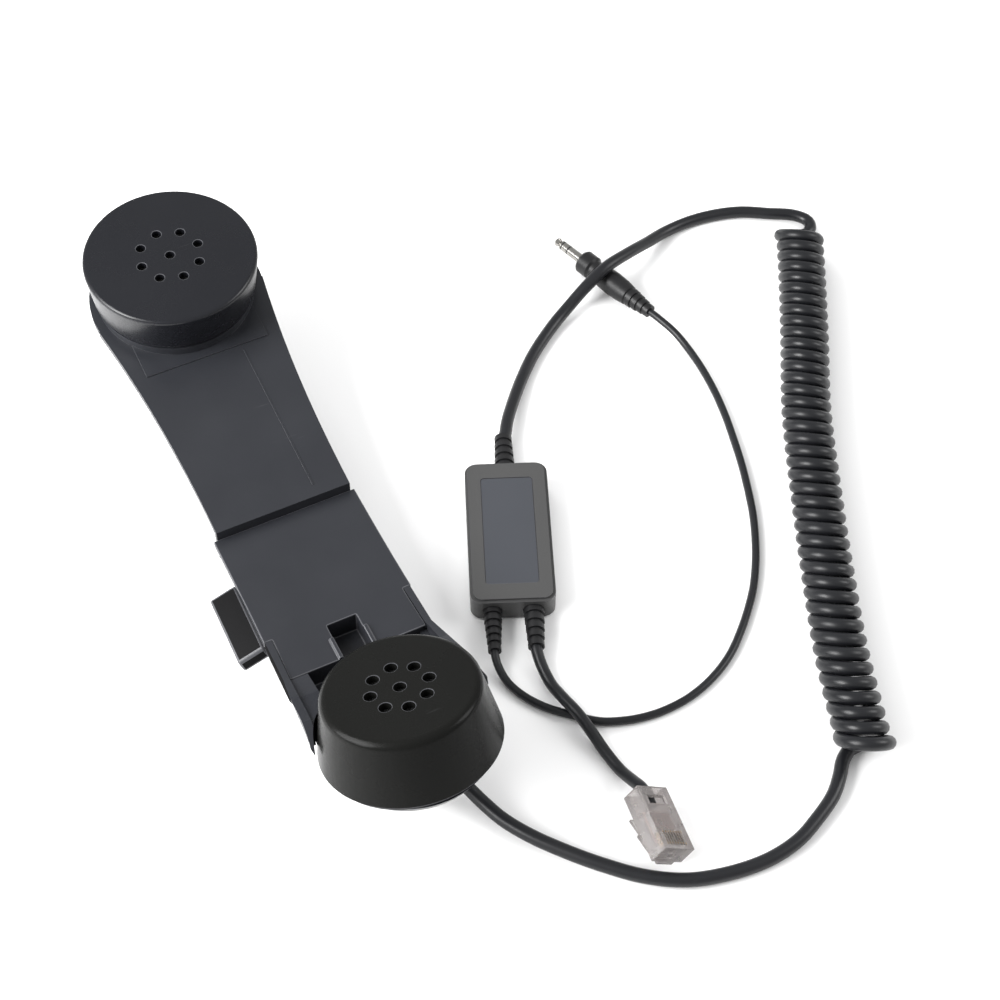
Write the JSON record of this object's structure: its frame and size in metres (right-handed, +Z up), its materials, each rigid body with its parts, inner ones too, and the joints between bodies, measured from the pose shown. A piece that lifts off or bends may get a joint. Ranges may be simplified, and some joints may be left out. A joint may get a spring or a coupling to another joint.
{
  "type": "push-to-talk telephone handset with cord",
  "caption": "Black push-to-talk telephone handset with a side key, a curly cord, a flat inline box, a jack plug lead and a clear modular plug lead.",
  "frame": {"origin": "on the surface that the handset lies on, under the middle of the handset", "axes": "+Z up and out of the caps, +Y along the handset towards its ear end, +X away from the push-to-talk key"},
  "size_m": [0.2655, 0.2814, 0.0614],
  "materials": {
    "shell_plastic": "satin moulded black with a fine grain",
    "box_plastic": "satin dark grey",
    "panel_film": "smooth satin",
    "soft_rubber": "matte",
    "cord_jacket": "smooth jacket with a soft sheen",
    "dust_cloth": "fine woven",
    "case_plastic": "moulded",
    "grille_metal": "stamped sheet",
    "cone_paper": "thin film",
    "steel": "plated",
    "plunger_plastic": "moulded",
    "board": "solder mask",
    "gold_contact": "gold plated",
    "wire_red": "insulation",
    "wire_blue": "insulation",
    "wire_white": "insulation",
    "chip_epoxy": "moulded epoxy",
    "jack_nickel": "bright nickel",
    "jack_insulator": "moulded",
    "clear_plastic": "clear moulded",
    "wire_coral": "insulation"
  },
  "bodies": {
    "handset": {"back_shell": "shell_plastic", "ear_cover": "shell_plastic", "grip_cover": "shell_plastic", "ear_cap": "shell_plastic", "ear_cap_seal": "soft_rubber", "ear_dust_disc": "dust_cloth", "earphone_case": "case_plastic", "earphone_grille": "grille_metal", "earphone_cone": "cone_paper", "earphone_magnet": "steel", "mouth_housing": "shell_plastic", "mouth_cap": "shell_plastic", "mouth_cap_seal": "soft_rubber", "mouth_dust_disc": "dust_cloth", "microphone_case": "case_plastic", "microphone_grille": "grille_metal", "microphone_element": "steel", "key_pin": "steel", "key_seal": "soft_rubber", "switch_body": "case_plastic", "switch_spring": "steel", "switch_bracket": "grille_metal", "terminal_board": "board", "terminal_screws": "gold_contact", "ear_wires": "wire_red", "mouth_wires": "wire_blue", "switch_wires": "wire_white", "shell_screws": "steel", "cord_gland": "soft_rubber", "cord_clamp": "grille_metal", "clamp_screws": "steel", "handset_cord": "cord_jacket", "curl_cord": "cord_jacket", "box_cord": "cord_jacket", "box_top": "box_plastic", "box_base": "box_plastic", "box_panel": "panel_film", "box_board": "board", "box_parts": "chip_epoxy", "box_screws": "steel", "box_inlet_relief": "soft_rubber", "box_jack_relief": "soft_rubber", "box_plug_relief": "soft_rubber", "jack_lead": "cord_jacket", "jack_grip": "soft_rubber", "jack_sleeve": "jack_nickel", "jack_ring": "jack_nickel", "jack_tip": "jack_nickel", "jack_core": "jack_insulator", "plug_lead": "cord_jacket", "plug_shell": "clear_plastic", "plug_contacts": "gold_contact", "plug_wires": "wire_coral"},
    "key": {"key_plate": "shell_plastic", "key_block": "shell_plastic"},
    "plunger": {"switch_plunger": "plunger_plastic"},
    "latch": {"plug_latch": "clear_plastic"}
  },
  "joints": [
    {"name": "key_turn", "type": "hinge", "parent": "handset", "child": "key", "pos_m": [-0.01741, -0.00225, 0.01541], "axis": [-0.3552, 0, 0.9348], "range_deg": [0, 1.6], "stiffness_Nm_per_rad": 4, "springref_deg": -0.57},
    {"name": "plunger_press", "type": "slide", "parent": "handset", "child": "plunger", "axis": [1, 0, 0], "range_m": [0, 0.001], "stiffness_N_per_m": 2, "springref_m": -0.0005},
    {"name": "latch_flex", "type": "hinge", "parent": "handset", "child": "latch", "pos_m": [0.05572, -0.14682, 0.00427], "axis": [-0.813, 0.0998, 0.5736], "range_deg": [-9, 0], "stiffness_Nm_per_rad": 0.05}
  ],
  "couplings": [
    {"joint": "plunger_press", "follows": "key_turn", "m_per_rad": 0.0347}
  ]
}
